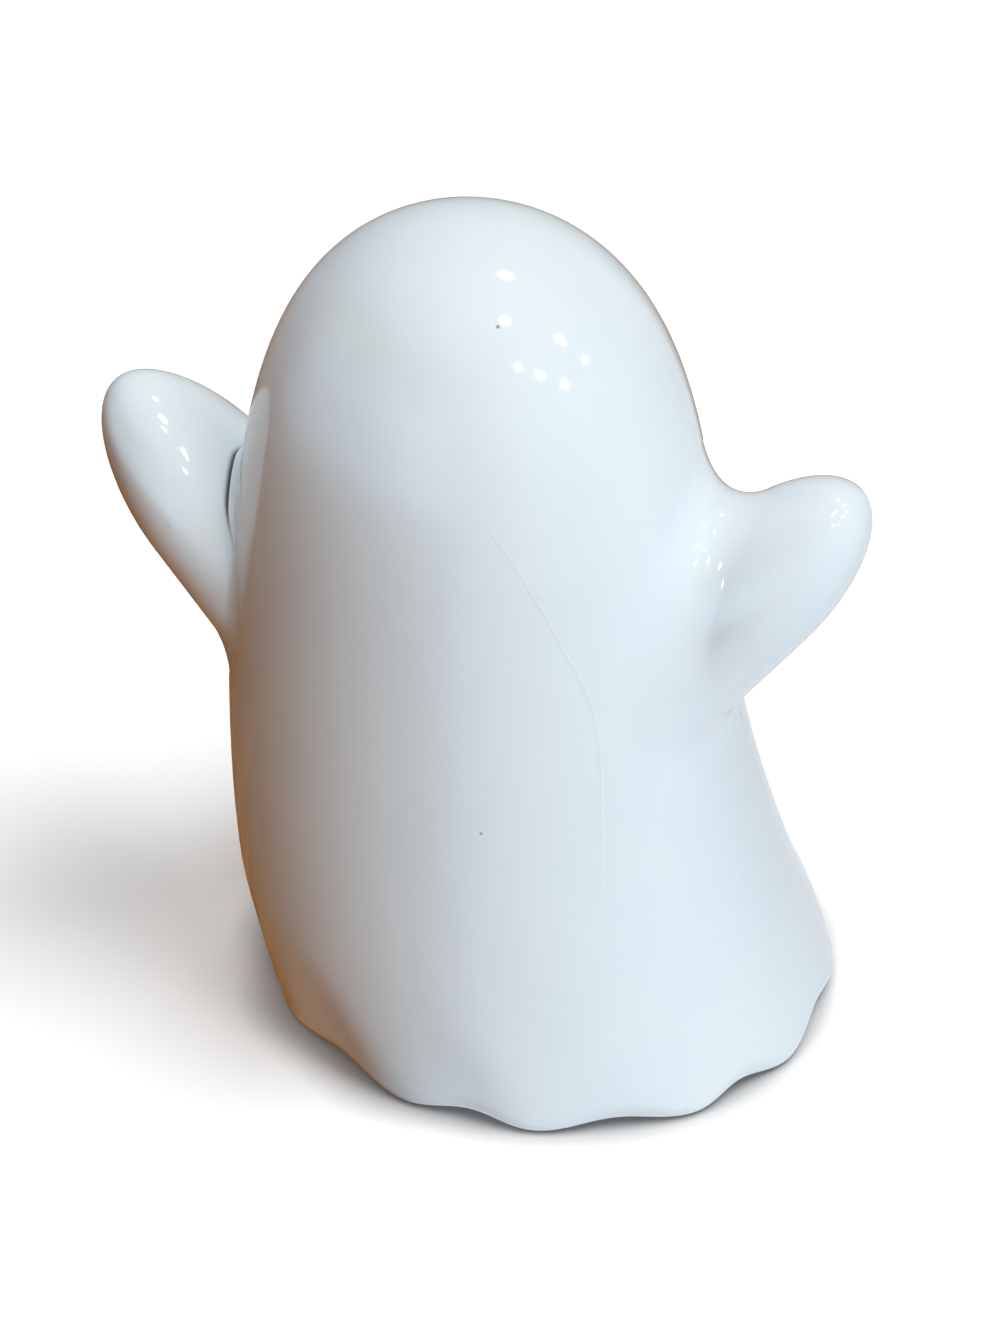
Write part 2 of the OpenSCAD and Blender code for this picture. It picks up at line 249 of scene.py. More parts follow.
def luting_ends(side, turn):
    """Shares of the arm's length where it leaves the body and where the fillet starts, the root
    of the joint, the four control points of the fillet's curve, and the way out between the skins."""
    reach, shares = REACH[side]
    f = reach * eased(shares, turn)
    root_s = root_share(side, turn)
    high_s = root_s + (f + CREASE_REACH * crease_share(side, turn)) / ARM_LEN
    root, high = arm_point(side, root_s, turn), arm_point(side, high_s, turn, SUNK_ARM)
    step = 2 * PROBE / ARM_LEN
    rise = unit(arm_point(side, high_s + step, turn) - arm_point(side, high_s - step, turn))
    across = np.cos(turn)[:, None] * TOP + np.sin(turn)[:, None] * FRONT
    square = body_normal(root, side)
    away = unit(across - square * (across * square).sum(-1, keepdims=True))
    low = on_body(root + away * f[:, None], side)
    low_square = body_normal(low, side)
    back = root - low
    inward = unit(back - low_square * (back * low_square).sum(-1, keepdims=True))
    arm_square = unit(across - rise * (across * rise).sum(-1, keepdims=True))
    handle = (f * HANDLE_SHARE)[:, None]
    curve = high, high - rise * handle, low + inward * handle, low - low_square * SUNK_BODY
    return SimpleNamespace(root_s=root_s, high_s=high_s, root=root, curve=curve,
                           outward=unit(arm_square + square))


# Meshes
def grid_faces(rings, n):
    """Faces between rings of n points that follow one another."""
    i = np.arange(n)
    j = (i + 1) % n
    r = np.arange(rings - 1)[:, None] * n
    return np.stack([r + i, r + j, r + n + j, r + n + i], -1).reshape(-1, 4)


def capped(rings, first, last):
    """Vertices and faces of rings of n points between two poles."""
    m, n = len(rings), len(rings[0])
    verts = np.vstack([np.asarray(rings).reshape(-1, 3), [first, last]])
    i = np.arange(n)
    j = (i + 1) % n
    faces = grid_faces(m, n).tolist()
    faces += np.stack([j, i, np.full(n, m * n)], -1).tolist()
    faces += np.stack([(m - 1) * n + i, (m - 1) * n + j, np.full(n, m * n + 1)], -1).tolist()
    return verts, faces


def make_mesh(name, verts, faces):
    """A smooth mesh object from places in millimetres."""
    mesh = bpy.data.meshes.new(name)
    mesh.from_pydata((np.asarray(verts) * M_PER_MM).tolist(), [], faces)
    mesh.validate()
    mesh.shade_smooth()
    obj = bpy.data.objects.new(name, mesh)
    bpy.context.scene.collection.objects.link(obj)
    return obj


def volume(obj):
    """The volume, negative where the faces look inwards."""
    mesh = obj.data
    mesh.calc_loop_triangles()
    a, b, c = coords(mesh)[read(mesh.loop_triangles, "vertices", int, 3)].transpose(1, 0, 2)
    return (a * np.cross(b, c)).sum() / 6


def mirrored(verts, faces, side):
    """The right side's shape, with its faces turned to look outwards again."""
    if side > 0:
        return verts, faces
    return verts * (-1, 1, 1), [f[::-1] for f in faces]


def read(items, field, kind, width=1):
    """One value of every item of a mesh, as an array."""
    values = np.empty(len(items) * width, kind)
    items.foreach_get(field, values)
    return values.reshape(-1, width) if width > 1 else values


def coords(mesh):
    return read(mesh.vertices, "co", float, 3)


def vertex_normals(mesh):
    return read(mesh.vertex_normals, "vector", float, 3)


# Points round the body, its skin's rings, and the share of the height where they draw closer
AROUND = 360
ROLL_RINGS, WALL_RINGS, CROWN_RINGS = 14, 110, 55
INNER_RINGS, INNER_CROWN_RINGS = 26, 17
DOME_SHARE = 0.7
# Rounding of the drain hole's edges, and the rings of each, and of the corner above the floor
DRAIN_EDGE, EDGE_RINGS, CORNER_RINGS = 0.8, 5, 6


def heights(top, start, below, above):
    """Heights of a skin's rings, closer together towards the crown."""
    rise = np.sin(np.linspace(0, QUARTER, above + 1)[:-1])
    return np.concatenate([np.linspace(start, DOME_SHARE * top, below, endpoint=False),
                           top * (DOME_SHARE + (1 - DOME_SHARE) * rise)])


# The outer box of the body gives the shift between the shape's own frame and the CAD's
ANGLES = np.linspace(0, TAU, AROUND, endpoint=False)
skin = [roll_ring(q, ANGLES) for q in np.linspace(0, 1, ROLL_RINGS, endpoint=False)]
skin += [wall_ring(z, ANGLES) for z in heights(HEIGHT, 0, WALL_RINGS, CROWN_RINGS)]
flat = np.asarray(skin).reshape(-1, 3)
box_low, box_high = (np.array(c) * MM_PER_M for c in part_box("body_shell"))
ORIGIN = (flat.min(0) + flat.max(0)) / 2 - (box_low + box_high) / 2
ORIGIN[2] = 0.0


def between(one, other, shares):
    """Rings on the flat stretch between two rings."""
    return [one * (1 - k) + other * k for k in shares]


def body_rings():
    """Rings from the crown inside, down to the floor, through the drain hole, over the foot
    and up to the crown outside, with the number of the first glazed ring."""
    centre = np.array((*spine(0.0), 0.0))
    circle = np.stack([np.cos(ANGLES), np.sin(ANGLES), 0 * ANGLES], -1)
    corner = ROLL_IN + ROLL_EXTRA

    def hole(r, z):
        return centre + (0, 0, z) + circle * r

    def level(z, inset=0.0):
        z = np.full(AROUND, z)
        return oval(half_w(z, WALL) - inset, half_d(z, WALL) - inset, z, ANGLES)

    top = HEIGHT - WALL
    inside = [level(z) for z in heights(top, FLOOR_T + corner, INNER_RINGS, INNER_CROWN_RINGS)[::-1]]
    for q in np.linspace(1, 0, CORNER_RINGS + 1)[1:]:
        inside.append(level(FLOOR_T + corner * (1 - math.cos(q * QUARTER)),
                            corner * (1 - math.sin(q * QUARTER))))
    lip_r = DRAIN_R + DRAIN_EDGE
    inside += between(inside[-1], hole(lip_r, FLOOR_T), (0.3, 0.6, 0.85, 0.97, 1))
    turn = np.linspace(0, QUARTER, EDGE_RINGS)
    inside += [hole(DRAIN_R + DRAIN_EDGE * (1 - math.sin(t)), FLOOR_T - DRAIN_EDGE * (1 - math.cos(t)))
               for t in turn[1:]]
    inside += [hole(DRAIN_R, FLOOR_T * k) for k in (0.6, 0.35)]
    inside += [hole(DRAIN_R + DRAIN_EDGE * (1 - math.cos(t)), DRAIN_EDGE * (1 - math.sin(t)))
               for t in turn]
    inside += between(hole(lip_r, 0), skin[0], (0.06, 0.2, 0.4, 0.6, 0.8, 0.92))
    return inside + skin, len(inside)


# Step for slopes at the inlays, and how far their cutter stands out of the skin
FINE_PROBE, OVERRUN = 0.02, 1.2


def face_frame(angle, z):
    """Place on the body's front and the turned frame of an inlay: down, across and square."""
    a = np.array([angle - QUARTER])
    level = np.array([z])
    p = oval(half_w(level), half_d(level), level, a)[0]
    square = body_normal(p[None])[0]
    polar, az = math.acos(square[2]), math.atan2(square[1], square[0])
    turned = np.array(Matrix.Rotation(az, 3, "Z") @ Matrix.Rotation(polar, 3, "Y"))
    return p, turned


def oval_points(w, h, n=96):
    """Points round an oval of the given width and height, height first."""
    a = np.linspace(0, TAU, n, endpoint=False)
    return np.stack([h / 2 * np.cos(a), w / 2 * np.sin(a)], -1)


def to_skin(p, square):
    """The points moved along the inlay's square direction on to the body's skin."""
    for _ in range(6):
        off = ratio(p, 1) - 1
        slope = (ratio(p + FINE_PROBE * square, 1) - ratio(p - FINE_PROBE * square, 1)) / (2 * FINE_PROBE)
        p = p - (off / slope)[:, None] * square
    return p


def recess_cutter(places):
    """A closed cutter with one oval plug for each inlay, parallel to the body's skin."""
    verts, faces = [], []
    for angle, z, w, h in places:
        p, turned = face_frame(angle, z)
        o = oval_points(w + 2 * GAP, h + 2 * GAP)
        n = len(o)
        base = len(verts)
        skin_at = to_skin(p + np.c_[o, np.zeros(n)] @ turned.T, turned[:, 2])
        for depth in (-RECESS, OVERRUN):
            verts += (skin_at + depth * turned[:, 2]).tolist()
        i = np.arange(n)
        j = (i + 1) % n
        faces += (np.stack([i, j, n + j, n + i], -1) + base).tolist()
        faces.append([base + k for k in range(n)][::-1])
        faces.append([base + n + k for k in range(n)])
    obj = make_mesh("recess_cutter", np.array(verts) - ORIGIN, faces)
    obj.data.polygons.foreach_set("material_index", np.ones(len(obj.data.polygons), int))
    return obj


# Heights between which the fillets lie, how far out they begin, and the body's mean radius there
JOINT_LOW, JOINT_HIGH, JOINT_X, SKIN_R = 45, 135, 5, 38.0


def laid_flat(p, side):
    """Places on the skin as arc from the given side and height."""
    x, y = spine(p[:, 2])
    a = np.arctan2((p[:, 1] - y) / half_d(p[:, 2]), side * (p[:, 0] - x) / half_w(p[:, 2]))
    return np.stack([a * SKIN_R, p[:, 2]], -1)


def dip_body(points):
    """How far each point of the skin dips under the fillets, so that no two skins share a place."""
    out = np.zeros(len(points))
    t = np.linspace(0, TAU, FILLET_AROUND, endpoint=False)
    for side in (1, -1):
        edge = laid_flat(luting_ends(side, t).curve[3] * (side, 1, 1), side)
        centre = edge.mean(0)
        phi = np.arctan2(*(edge - centre).T[::-1])
        order = np.argsort(phi)
        phi, rho = phi[order], np.linalg.norm(edge - centre, axis=1)[order]
        near = ((points[:, 2] > JOINT_LOW) & (points[:, 2] < JOINT_HIGH)
                & (side * (points[:, 0] - spine(points[:, 2])[0]) > JOINT_X))
        q = laid_flat(points[near], side) - centre
        at = np.interp(np.arctan2(q[:, 1], q[:, 0]), phi, rho, period=TAU)
        out[near] += DIP * smooth((at - np.linalg.norm(q, axis=1)) / BODY_DIP_RUN)
    return out


# The face's recesses lie in front of this depth and above this height
FACE_Y, FACE_Z = -15, 60
# Heights between which the skin takes its normals from the formula, and how near 1 the ratio is
# for the skin that does and for the skin that may dip
SMOOTH_LOW, SMOOTH_HIGH = 60, 130
ON_SKIN, NEAR_SKIN = 0.002, 0.01


def cut_recesses(obj, places):
    """The body's mesh with the recesses cut out of it. Their faces have material index 1."""
    cutter = recess_cutter(places)
    mod = obj.modifiers.new("recesses", "BOOLEAN")
    mod.operation, mod.solver, mod.object = "DIFFERENCE", "EXACT", cutter
    bpy.context.view_layer.update()
    cut = bpy.data.meshes.new_from_object(obj.evaluated_get(bpy.context.evaluated_depsgraph_get()))
    obj.modifiers.clear()
    whole = obj.data
    obj.data = cut
    bpy.data.meshes.remove(whole)
    cut.name = obj.name
    bpy.data.objects.remove(cutter)


def finish_body(obj, places):
    """Cuts the recesses, then dips the skin under the fillets and keeps the undipped normals."""
    cut_recesses(obj, places)
    mesh = obj.data
    mesh.shade_smooth()
    normals = vertex_normals(mesh)
    p = coords(mesh) * MM_PER_M + ORIGIN
    off = np.abs(ratio(p, 1) - 1)
    outer = (off < ON_SKIN) & (p[:, 2] > SMOOTH_LOW) & (p[:, 2] < SMOOTH_HIGH)
    normals[outer] = body_normal(p[outer])
    index = read(mesh.polygons, "material_index", int)
    flat = read(mesh.polygons, "normal", float, 3)
    centre = read(mesh.polygons, "center", float, 3) * MM_PER_M + ORIGIN
    loops = normals[read(mesh.loops, "vertex_index", int)]
    in_recess = (index == 1) & (centre[:, 1] < FACE_Y) & (centre[:, 2] > FACE_Z)
    poly_of = np.repeat(np.arange(len(index)), read(mesh.polygons, "loop_total", int))
    loops[in_recess[poly_of]] = flat[poly_of][in_recess[poly_of]]
    p = p - (dip_body(p) * (off < NEAR_SKIN))[:, None] * normals
    mesh.vertices.foreach_set("co", ((p - ORIGIN) * M_PER_MM).ravel())
    mesh.update()
    mesh.normals_split_custom_set(loops.tolist())
    index[in_recess] = 0
    mesh.polygons.foreach_set("material_index", index)


def make_body():
    """The hollow body: bare clay inside, glaze from the foot up."""
    rings, glazed = body_rings()
    top_in = (*spine(HEIGHT - WALL), HEIGHT - WALL)
    verts, faces = capped(rings, top_in, (*spine(HEIGHT), HEIGHT))
    obj = make_mesh("glazed_body", verts - ORIGIN, faces)
    index = np.zeros(len(faces), int)
    index[:(glazed - 1) * AROUND] = 1
    index[(len(rings) - 1) * AROUND:len(rings) * AROUND] = 1
    obj.data.polygons.foreach_set("material_index", index)
    places = [(EYE_ANGLE, EYE_Z, EYE_W, EYE_H), (-EYE_ANGLE, EYE_Z, EYE_W, EYE_H),
              (0.0, MOUTH_Z, MOUTH_W, MOUTH_H)]
    finish_body(obj, places)
    return obj


# Points round an arm and round a fillet, rings inside an arm, on its skin under the fillet and
# past it, and sections of a fillet
ARM_AROUND, FILLET_AROUND = 160, 240
ARM_INNER_RINGS, UNDER_RINGS, ARM_RINGS = 11, 8, 55
FILLET_SECTIONS = 33
# Share of a fillet's curve over which the crease and the ridge fade at both ends
FADE_SHARE = 0.12


def make_arm(name, side):
    """A hollow arm whose skin dips under its fillet and keeps the undipped skin's normals."""
    t = np.linspace(0, TAU, ARM_AROUND, endpoint=False)
    ends = luting_ends(side, t)
    inner_root = root_share(side, t, ARM_WALL)
    crease = crease_share(side, t)
    # each ring's share of the length, how far it lies inside the arm, and how far it would undipped
    rings = [(inner_root + (1 - inner_root) * math.sin(q * QUARTER), ARM_WALL, ARM_WALL)
             for q in np.linspace(1, 0, ARM_INNER_RINGS + 1)[1:]]
    for k in np.linspace(0, 1, UNDER_RINGS + 1)[:-1]:
        s = ends.root_s + (ends.high_s - ends.root_s) * k
        run = ARM_DIP_RUN - CREASE_RUN_CUT * crease
        rings.append((s, (DIP + CREASE_DIP * crease) * smooth((ends.high_s - s) * ARM_LEN / run), 0.0))
    for q in np.linspace(0, 1, ARM_RINGS + 1)[:-1]:
        rings.append((ends.high_s + (1 - ends.high_s) * math.sin(q * QUARTER), 0.0, 0.0))
    poles = arm_point(side, 1.0, 0.0, ARM_WALL), arm_point(side, 1.0, 0.0)
    verts, faces = capped([arm_point(side, s, t, dip) for s, dip, _ in rings], *poles)
    plain, _ = capped([arm_point(side, s, t, inset) for s, _, inset in rings], *poles)
    verts, faces = mirrored(verts, faces, side)
    obj = make_mesh(name, plain * (side, 1, 1) - ORIGIN, faces)
    if volume(obj) < 0:
        obj.data.flip_normals()
    normals = vertex_normals(obj.data)
    obj.data.vertices.foreach_set("co", ((verts - ORIGIN) * M_PER_MM).ravel())
    obj.data.update()
    obj.data.normals_split_custom_set_from_vertices(normals.tolist())
    index = np.zeros(len(faces), int)
    index[:(ARM_INNER_RINGS - 1) * ARM_AROUND] = 1
    obj.data.polygons.foreach_set("material_index", index)
    return obj


def curve_points(points, k):
    """Points at the shares k of the curve with four control points."""
    a, b, c, d = points
    return a * (1 - k) ** 3 + 3 * b * k * (1 - k) ** 2 + 3 * c * k * k * (1 - k) + d * k ** 3


def luting_relief(side, t, k):
    """Height of the crease and the ridge over the fillet, and how much painted shade darkens the crease."""
    share = crease_share(side, t)
    waves = [np.exp(-((k - at) / width) ** 2) for at, width, _ in (CREASE, RIDGE)]
    ends = smooth(k / FADE_SHARE) * smooth((1 - k) / FADE_SHARE)
    return (waves[0] * CREASE[2] + waves[1] * RIDGE[2]) * ends * share, waves[0] * share


def make_luting(name, side):
    """The slip fillet: a closed ring of sections round the arm, smooth where it meets both skins."""
    t = np.linspace(0, TAU, FILLET_AROUND, endpoint=False)
    ends = luting_ends(side, t)
    k = np.linspace(0, 1, FILLET_SECTIONS)[:, None, None]
    outer = curve_points(ends.curve, k)
    lift, dark = luting_relief(side, t, k[:, 0])
    outer = outer + lift[..., None] * ends.outward
    deep = ends.root - (FILLET_DEPTH + CREASE_DEPTH * crease_share(side, t))[:, None] * ends.outward
    high, low = ends.curve[0], ends.curve[3]
    sections = np.concatenate([outer, [low * 0.5 + deep * 0.5, deep, deep * 0.5 + high * 0.5]])
    m, n = len(sections), len(t)
    verts = sections.reshape(-1, 3)
    i, r = np.arange(n), np.arange(m)[:, None]
    j, s = (i + 1) % n, (np.arange(m)[:, None] + 1) % m
    faces = np.stack([r * n + i, r * n + j, s * n + j, s * n + i], -1).reshape(-1, 4).tolist()
    du = np.roll(outer, -1, 1) - np.roll(outer, 1, 1)
    dk = np.gradient(outer, axis=0)
    smooth_n = (unit(np.cross(du, dk)) * (side, 1, 1)).reshape(-1, 3)
    verts, faces = mirrored(verts, faces, side)
    obj = make_mesh(name, verts - ORIGIN, faces)
    if volume(obj) < 0:
        obj.data.flip_normals()
    normals = vertex_normals(obj.data)
    middle = slice(FILLET_SECTIONS // 4 * n, FILLET_SECTIONS * 3 // 4 * n)
    sign = np.sign((smooth_n[middle] * normals[middle]).sum())
    normals[:len(smooth_n)] = smooth_n * sign
    obj.data.normals_split_custom_set_from_vertices(normals.tolist())
    # Painted shade: how dark the crease is at each point, kept in the crease attribute for the glaze's
    # colour
    shade = np.zeros(len(verts))
    shade[:dark.size] = dark.ravel()
    obj.data.attributes.new("crease", "FLOAT", "POINT").data.foreach_set("value", shade)
    return obj


# Clearance below an inlay, the rounding of its lower edge, and how far that edge draws in
BED_GAP, INLAY_EDGE, EDGE_IN_SHARE = 0.02, 0.2, 0.035
# Shares of an inlay's flat bottom, and rings of its lower edge and of its dome
BOTTOM_SHARES, LOW_RINGS, DOME_RINGS = (0.4, 0.75, 0.94), 4, 21


def make_inlay(name, angle, z, w, h):
    """A domed inlay whose edge follows the body's skin, a little below the glaze."""
    p, turned = face_frame(angle, z)
    square = turned[:, 2]
    rings = []

    def ring(share, depth):
        o = oval_points(w * share, h * share)
        at = to_skin(p + np.c_[o, np.zeros(len(o))] @ turned.T, square)
        return at + depth * square

    for share in BOTTOM_SHARES:
        rings.append(ring(share, -RECESS + BED_GAP))
    for q in np.linspace(0, 1, LOW_RINGS):
        rings.append(ring(1 - EDGE_IN_SHARE * (1 - math.sin(q * QUARTER)),
                          -RECESS + BED_GAP + INLAY_EDGE * (1 - math.cos(q * QUARTER))))
    rings.append(ring(1, -SINK - INLAY_EDGE))
    for q in np.linspace(0, 1, DOME_RINGS + 1)[:-1]:
        c, s = math.cos(q * QUARTER), math.sin(q * QUARTER)
        rings.append(ring(c, -SINK + (SINK + PROUD) * s))
    low = to_skin(p[None], square)[0]
    verts, faces = capped(rings, low + (-RECESS + BED_GAP) * square, low + PROUD * square)
    obj = make_mesh(name, verts - ORIGIN, faces)
    if volume(obj) < 0:
        obj.data.flip_normals()
    return obj


# Materials
class Nodes:
    """A small helper that adds nodes and links their sockets."""

    def __init__(self, tree):
        self.tree = tree
        tree.nodes.clear()

    def add(self, kind, inputs=None, **settings):
        node = self.tree.nodes.new(kind)
        for key, value in settings.items():
            setattr(node, key, value)
        for key, value in (inputs or {}).items():
            socket = node.inputs[key]
            if isinstance(value, bpy.types.NodeSocket):
                self.tree.links.new(value, socket)
            else:
                socket.default_value = value
        return node

    def math(self, operation, a, b=0.0):
        return self.add("ShaderNodeMath", {0: a, 1: b}, operation=operation).outputs[0]

    def vector(self, operation, a, b=(0, 0, 0)):
        return self.add("ShaderNodeVectorMath", {0: a, 1: b}, operation=operation)

    def ramp(self, value, low, high, to_low=0.0, to_high=1.0, eased_ends=True):
        kind = "SMOOTHSTEP" if eased_ends else "LINEAR"
        node = self.add("ShaderNodeMapRange", {0: value, 1: low, 2: high, 3: to_low, 4: to_high},
                        interpolation_type=kind)
        return node.outputs[0]

    def mix(self, share, a, b):
        node = self.add("ShaderNodeMix", data_type="RGBA")
        for socket, value in ((0, share), (6, a), (7, b)):
            if isinstance(value, bpy.types.NodeSocket):
                self.tree.links.new(value, node.inputs[socket])
            else:
                node.inputs[socket].default_value = value
        return node.outputs[2]

    def noise(self, where, scale, detail=3.0, rough=0.5):
        node = self.add("ShaderNodeTexNoise", {"Vector": where, "Scale": scale, "Detail": detail,
                                               "Roughness": rough})
        return node.outputs["Fac"]


def new_material(name):
    """A material with an empty node tree and its helper."""
    mat = bpy.data.materials.new(name)
    mat.use_nodes = True
    return mat, Nodes(mat.node_tree)


# Colours of the painted shade at the crease's bottom and inside a pinhole
CREASE_PAINTED_SHADE, PIT_PAINTED_SHADE = (0.11, 0.105, 0.10, 1), (0.16, 0.17, 0.18, 1)


def glaze_material(name, colour, dark, light, flaws_and_painted_shading):
    """Glossy glaze: slight clouds in the colour, a faintly rippled skin, specks, and flaws with painted
    shade in the pits and the crease and a painted highlight along the crazing line.
    """
    mat, n = new_material(name)
    where = n.add("ShaderNodeTexCoord").outputs["Object"]
    clouds = n.noise(where, 28.0, detail=4.0, rough=0.55)
    fine = n.noise(where, 420.0, rough=0.6)
    base = n.mix(n.ramp(clouds, 0.3, 0.7), dark, light)
    base = n.mix(n.ramp(fine, 0.35, 0.75, 0.0, 0.35), base, colour)
    specks = n.add("ShaderNodeTexVoronoi", {"Vector": where, "Scale": 240.0, "Randomness": 1.0})
    rare = n.noise(where, 95.0, detail=1.0)
    speck = n.math("MULTIPLY", n.ramp(specks.outputs["Distance"], 0.05, 0.09, 1.0, 0.0),
                   n.ramp(rare, 0.66, 0.7))
    grey = tuple(c * 0.62 for c in colour[:3]) + (1.0,)
    base = n.mix(n.math("MULTIPLY", speck, 0.35), base, grey)
    ripple = n.noise(where, 62.0, detail=2.0, rough=0.4)
    skin_noise = n.noise(where, 900.0, detail=2.0)
    height = n.math("ADD", ripple, n.math("MULTIPLY", skin_noise, 0.05))
    if flaws_and_painted_shading:
        base, height = add_flaws_and_painted_shading(n, where, base, height)
        # Painted shade: the colour darkens towards the crease's shade colour where the crease attribute is
        # high
        crease = n.add("ShaderNodeAttribute", attribute_name="crease").outputs["Fac"]
        base = n.mix(n.ramp(crease, 0.1, 0.9, 0.0, 0.92), base, CREASE_PAINTED_SHADE)
    bump = n.add("ShaderNodeBump", {"Strength": 0.35, "Distance": 0.0006, "Height": height})
    shader = n.add("ShaderNodeBsdfPrincipled", {
        "Base Color": base, "Roughness": 0.075, "IOR": 1.52, "Normal": bump.outputs[0]})
    n.add("ShaderNodeOutputMaterial", {"Surface": shader.outputs[0]})
    return mat


# Flaws of the glaze on the body: pinholes, each with its place, size and strength, darkened with painted
# shade
# # inside, and one fine crazing line down the back, as heights and places across, with a painted highlight
# along it and painted shade beside it
PINHOLES = (((-7.1, 18.3, 143.3), 0.42, 0.75), ((-9.4, 36.5, 58.8), 0.36, 0.7),
            ((-43.3, -2.8, 60.9), 0.55, 0.6), ((-31.5, 22.5, 96.0), 0.22, 0.3),
            ((12.4, 33.0, 88.0), 0.2, 0.3), ((-4.2, 36.2, 71.5), 0.18, 0.3))
CRAZE = ((25, -29.3), (45, -28.5), (60, -27.7), (75, -26.6), (83, -25.0), (93, -21.2),
         (105, -15.8), (115, -9.9))
# Heights in metres over which the line grows from faint to plain, and over which it ends
CRAZE_FAINT, CRAZE_END = (0.020, 0.095, 0.15, 1.0), (0.1150, 0.1146, 0.0, 1.0)
# Half widths in metres, at full strength and at the edge, of the line and of the faint painted shade beside
# it, then
# # that shade's distance from the line and the line's wobble
THREAD_WIDTH, LINE_SHADE_WIDTH = (0.00003, 0.00013, 1.0, 0.0), (0.0001, 0.0004, 1.0, 0.0)
LINE_SHADE_AWAY, WOBBLE = 0.0004, 0.0003
# Metres of a pinhole's full painted shade for each millimetre of its size
PIT_CORE = 0.0003
# Colours of the painted shade beside the crazing line and of the painted highlight along it
LINE_SHADE_GREY, THREAD_HIGHLIGHT = (0.45, 0.47, 0.49, 1), (0.93, 0.95, 0.96, 1)


def add_flaws_and_painted_shading(n, where, base, height):
    """Pinholes and the crazing line, in the colour and in the height of the skin. The colour paints shade
    inside the pits, a highlight along the line and shade beside it.
    """
    for place, size, strength in PINHOLES:
        at = tuple((np.array(place) - ORIGIN) * M_PER_MM)
        gap = n.vector("DISTANCE", where, at).outputs["Value"]
        pit = n.ramp(gap, size * PIT_CORE, size * M_PER_MM, 1.0, 0.0)
        # Painted shade: the colour darkens to a grey inside each pit, beside its real dip in height
        base = n.mix(n.math("MULTIPLY", pit, strength), base, PIT_PAINTED_SHADE)
        height = n.math("SUBTRACT", height, n.math("MULTIPLY", pit, 1.2))
    parts = n.add("ShaderNodeSeparateXYZ", {0: where}).outputs
    low, high = CRAZE[0][0], CRAZE[-1][0]
    left, right = CRAZE[0][1], CRAZE[-1][1]
    along = n.ramp(parts["Z"], low * M_PER_MM, high * M_PER_MM, eased_ends=False)
    curve = n.add("ShaderNodeFloatCurve", {"Value": along})
    line = curve.mapping.curves[0]
    for z, x in CRAZE[1:-1]:
        line.points.new((z - low) / (high - low), (x - left) / (right - left))
    curve.mapping.update()
    wobble = n.math("MULTIPLY", n.math("SUBTRACT", n.noise(where, 260.0), 0.5), WOBBLE)
    across = n.ramp(curve.outputs[0], 0.0, 1.0, (left - ORIGIN[0]) * M_PER_MM,
                    (right - ORIGIN[0]) * M_PER_MM, eased_ends=False)
    x_line = n.math("ADD", across, wobble)
    off = n.math("SUBTRACT", parts["X"], x_line)
    ends = n.math("MULTIPLY", n.ramp(parts["Z"], *CRAZE_FAINT), n.ramp(parts["Z"], *CRAZE_END))
    ends = n.math("MULTIPLY", ends, n.ramp(parts["Y"], 0.0, 0.002))
    thread = n.math("MULTIPLY", n.ramp(n.math("ABSOLUTE", off), *THREAD_WIDTH), ends)
    beside = n.math("SUBTRACT", off, LINE_SHADE_AWAY)
    line_shade = n.math("MULTIPLY", n.ramp(n.math("ABSOLUTE", beside), *LINE_SHADE_WIDTH), ends)
    # Painted shade in a faint band beside the line, and a painted highlight along the line itself
    base = n.mix(n.math("MULTIPLY", line_shade, 0.10), base, LINE_SHADE_GREY)
    base = n.mix(n.math("MULTIPLY", thread, 0.5), base, THREAD_HIGHLIGHT)
    return base, n.math("ADD", height, n.math("MULTIPLY", thread, 0.10))


def bisque_material():
    """Unglazed clay, for the inside and the hidden ends."""
    mat, n = new_material("bare_clay")
    where = n.add("ShaderNodeTexCoord").outputs["Object"]
    grain = n.noise(where, 700.0, detail=5.0, rough=0.65)
    clouds = n.noise(where, 55.0)
    base = n.mix(n.ramp(clouds, 0.3, 0.7), (0.60, 0.56, 0.49, 1), (0.70, 0.66, 0.60, 1))
    base = n.mix(n.ramp(grain, 0.3, 0.8, 0.0, 0.35), base, (0.45, 0.41, 0.36, 1))
    bump = n.add("ShaderNodeBump", {"Strength": 0.5, "Distance": 0.0003, "Height": grain})
    shader = n.add("ShaderNodeBsdfPrincipled", {"Base Color": base, "Roughness": 0.88,
                                                "Normal": bump.outputs[0]})
    n.add("ShaderNodeOutputMaterial", {"Surface": shader.outputs[0]})
    return mat


# Pieces
white = glaze_material("white_glaze_skin", (0.80, 0.868, 0.90, 1), (0.785, 0.855, 0.892, 1),
                       (0.815, 0.878, 0.905, 1), True)
black = glaze_material("black_glaze_skin", (0.016, 0.016, 0.019, 1), (0.013, 0.013, 0.016, 1),
                       (0.020, 0.020, 0.024, 1), False)
clay = bisque_material()
pieces = []


def dress(obj, nodes, mats):
    pieces.append(obj)
    for mat in mats:
        obj.data.materials.append(mat)
    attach(obj, "root")
    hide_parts(*nodes)


body = make_body()
body.data.materials.clear()
dress(body, ["body_shell"], [white, clay])
for arm_name, fillet_name, side in (("left_arm", "left_arm_luting", 1),
                                    ("right_arm", "right_arm_luting", -1)):
    dress(make_arm("glazed_" + arm_name, side), [arm_name], [white, clay])
    dress(make_luting("glazed_" + fillet_name, side), [fillet_name], [white])
for inlay_name, *place in (("left_eye", EYE_ANGLE, EYE_Z, EYE_W, EYE_H),
                           ("right_eye", -EYE_ANGLE, EYE_Z, EYE_W, EYE_H),
                           ("mouth", 0.0, MOUTH_Z, MOUTH_W, MOUTH_H)):
    dress(make_inlay("inlay_" + inlay_name, *place), [inlay_name], [black])

